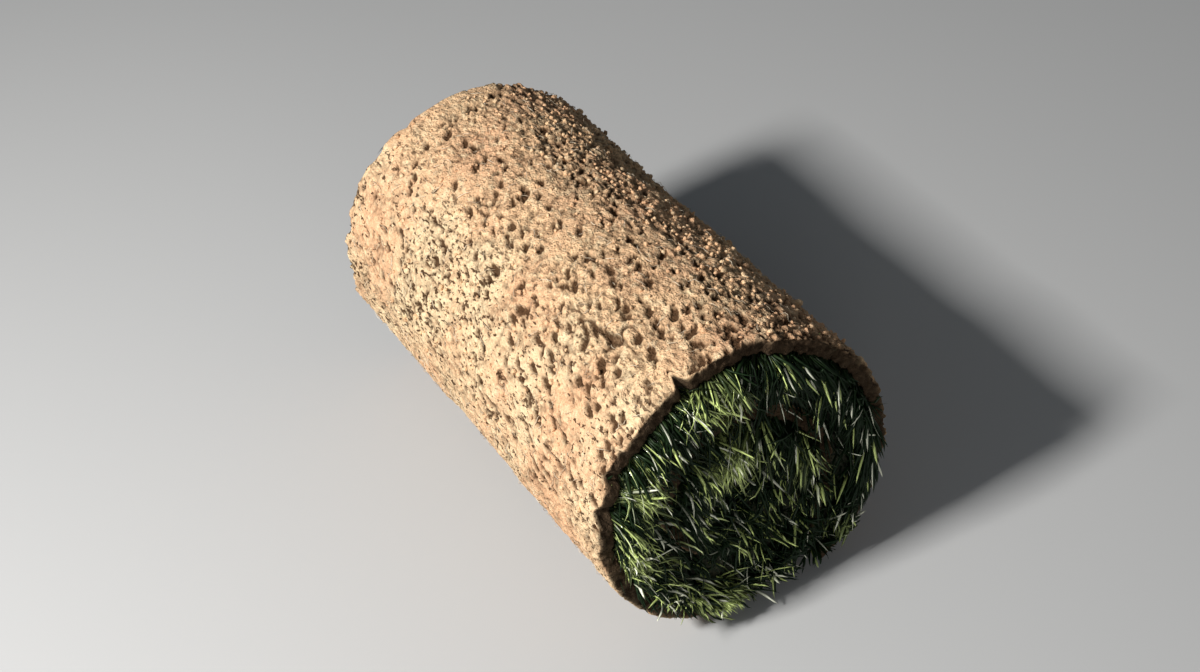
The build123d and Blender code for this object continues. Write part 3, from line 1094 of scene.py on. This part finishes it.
class TURF_OT_soil(bpy.types.Operator):
    """Builds the wound soil: the first turn, and the outer turn in two bands"""

    bl_idname = "turf.soil"
    bl_label = "Wound soil"

    def execute(self, context):
        roll = Winding(context.scene.turf_strip)
        soil = context.scene.turf_soil
        skin = soil_skin(soil)
        lap, half, end = roll.lap, roll.lap + pi * 1.02, roll.end
        inside = (0.02, 0.003, 0.0026)
        outside = (soil.grid, 0.004, soil.grid)
        bands = [
            # The first turn's cut ends get the most darkening: partly moist soil, partly painted shade
            wound_band(roll, soil, "soil_first_turn", 0.0, lap, inside, skin, wet_and_shade=1.0),
            wound_band(roll, soil, "soil_outer_turn_start", lap, half, outside, skin),
            wound_band(roll, soil, "soil_outer_turn_end", half, end, outside, skin, round_last=True),
        ]
        for band in bands:
            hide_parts(NODE)
        return {"FINISHED"}


class TURF_OT_thatch(bpy.types.Operator):
    """Builds the matted stems between the turns"""

    bl_idname = "turf.thatch"
    bl_label = "Thatch"

    def execute(self, context):
        thatch_bed(Winding(context.scene.turf_strip), thatch_material())
        return {"FINISHED"}


class TURF_OT_grass(bpy.types.Operator):
    """Builds the blades at the roll's two ends"""

    bl_idname = "turf.grass"
    bl_label = "Grass"

    def execute(self, context):
        roll = Winding(context.scene.turf_strip)
        grass = context.scene.turf_grass
        blade = grass_material(grass)
        grass_end(roll, grass, "grass_front", FRONT, grass.blades, 5, blade)
        grass_end(roll, grass, "grass_back", BACK, round(grass.blades * 0.65), 6, blade)
        return {"FINISHED"}


class TURF_OT_roots(bpy.types.Operator):
    """Lays fine roots and loose crumbs on the outer turn"""

    bl_idname = "turf.roots"
    bl_label = "Roots and crumbs"

    def execute(self, context):
        roll = Winding(context.scene.turf_strip)
        soil = context.scene.turf_soil
        rootlets(roll, soil, 7, 1300, root_material())
        crumbs(roll, soil, 8, 1200, soil_skin(soil))
        return {"FINISHED"}


class TURF_OT_stage(bpy.types.Operator):
    """Sets the floor, the soft light and the camera"""

    bl_idname = "turf.stage"
    bl_label = "Stage"

    def execute(self, context):
        stage = context.scene.turf_stage
        low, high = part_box(NODE)
        middle = Vector([(a + b) / 2 for a, b in zip(low, high)])
        make_floor(stage)
        make_lamp("key", middle, *KEY_LAMP, stage.key)
        make_lamp("fill", middle, *FILL_LAMP, stage.fill)
        make_sky(context.scene, stage)
        make_camera(context.scene, stage, middle)
        context.scene.view_settings.view_transform = "Standard"
        return {"FINISHED"}


def make_floor(stage):
    """Plain matt square floor at the height that the roll lies on."""
    mesh = bpy.data.meshes.new("floor")
    mesh.from_pydata([(-9, -9, 0), (9, -9, 0), (9, 9, 0), (-9, 9, 0)], [], [(0, 1, 2, 3)])
    material, _ = new_material("Floor")
    inputs = {"Base Color": stage.floor, "Roughness": 0.95, "Specular IOR Level": 0.1}
    mesh.materials.append(surfaced(material, inputs))
    new_object("floor", mesh)


def make_lamp(name, target, away, size, power):
    """Square soft lamp at a place away from a target, which it faces."""
    lamp = bpy.data.lights.new(name, "AREA")
    lamp.shape = "SQUARE"
    lamp.size = size
    lamp.energy = power
    place = target + Vector(away)
    holder = new_object(name, lamp)
    holder.location = place
    holder.rotation_euler = (target - place).to_track_quat("-Z", "Y").to_euler()


def make_sky(scene, stage):
    """Even pale light from all round, and a pale background where the camera sees past the floor."""
    world = bpy.data.worlds.new("Sky")
    world.use_nodes = True
    tree = world.node_tree
    tree.nodes.clear()
    light = add(tree, "ShaderNodeBackground", {"Color": SKY_LIGHT, "Strength": stage.sky})
    seen = add(tree, "ShaderNodeBackground", {"Color": stage.floor})
    direct = add(tree, "ShaderNodeLightPath").outputs["Is Camera Ray"]
    inputs = {"Fac": direct, 1: light.outputs["Background"], 2: seen.outputs["Background"]}
    both = add(tree, "ShaderNodeMixShader", inputs)
    add(tree, "ShaderNodeOutputWorld", {"Surface": both.outputs["Shader"]})
    scene.world = world


def make_camera(scene, stage, middle):
    """Camera where the photograph was taken from, turned to the roll's middle and leaned as it was."""
    across, back, height = CAMERA_PLACE
    place = Vector((across, back, height - middle.z)) + middle
    forward = (middle + Vector((0.0, 0.0, -AIM_BELOW)) - place).normalized()
    level = forward.cross(Vector((0, 0, 1))).normalized()
    lean = radians(CAMERA_LEAN)
    up = level.cross(forward) * cos(lean) + level * sin(lean)
    camera = new_object("camera", bpy.data.cameras.new("camera"))
    camera.data.lens = stage.lens
    turn = Matrix((forward.cross(up), up, -forward)).transposed()
    camera.matrix_world = Matrix.Translation(place) @ turn.to_4x4()
    scene.camera = camera


class TURF_PT_panel(bpy.types.Panel):
    """Lists the turf roll's pieces and its main sizes"""

    bl_idname = "TURF_PT_panel"
    bl_label = "Roll of turf"
    bl_space_type = "VIEW_3D"
    bl_region_type = "UI"
    bl_category = "Turf"

    def draw(self, context):
        for operator in OPERATORS:
            self.layout.operator(operator.bl_idname)
        for key, group in SETTINGS.items():
            box = self.layout.box()
            for setting in group.__annotations__:
                box.prop(getattr(context.scene, key), setting)


OPERATORS = (TURF_OT_soil, TURF_OT_thatch, TURF_OT_grass, TURF_OT_roots, TURF_OT_stage)
SETTINGS = {
    "turf_strip": TurfStripSettings,
    "turf_soil": TurfSoilSettings,
    "turf_grass": TurfGrassSettings,
    "turf_stage": TurfStageSettings,
}
CLASSES = (*SETTINGS.values(), *OPERATORS, TURF_PT_panel)


def register():
    for group in CLASSES:
        bpy.utils.register_class(group)
    for key, group in SETTINGS.items():
        setattr(bpy.types.Scene, key, PointerProperty(type=group))


def unregister():
    for key in SETTINGS:
        delattr(bpy.types.Scene, key)
    for group in reversed(CLASSES):
        bpy.utils.unregister_class(group)


def main():
    """Builds every piece in order."""
    register()
    bpy.ops.turf.soil()
    bpy.ops.turf.thatch()
    bpy.ops.turf.grass()
    bpy.ops.turf.roots()
    bpy.ops.turf.stage()


if __name__ == "__main__":
    main()
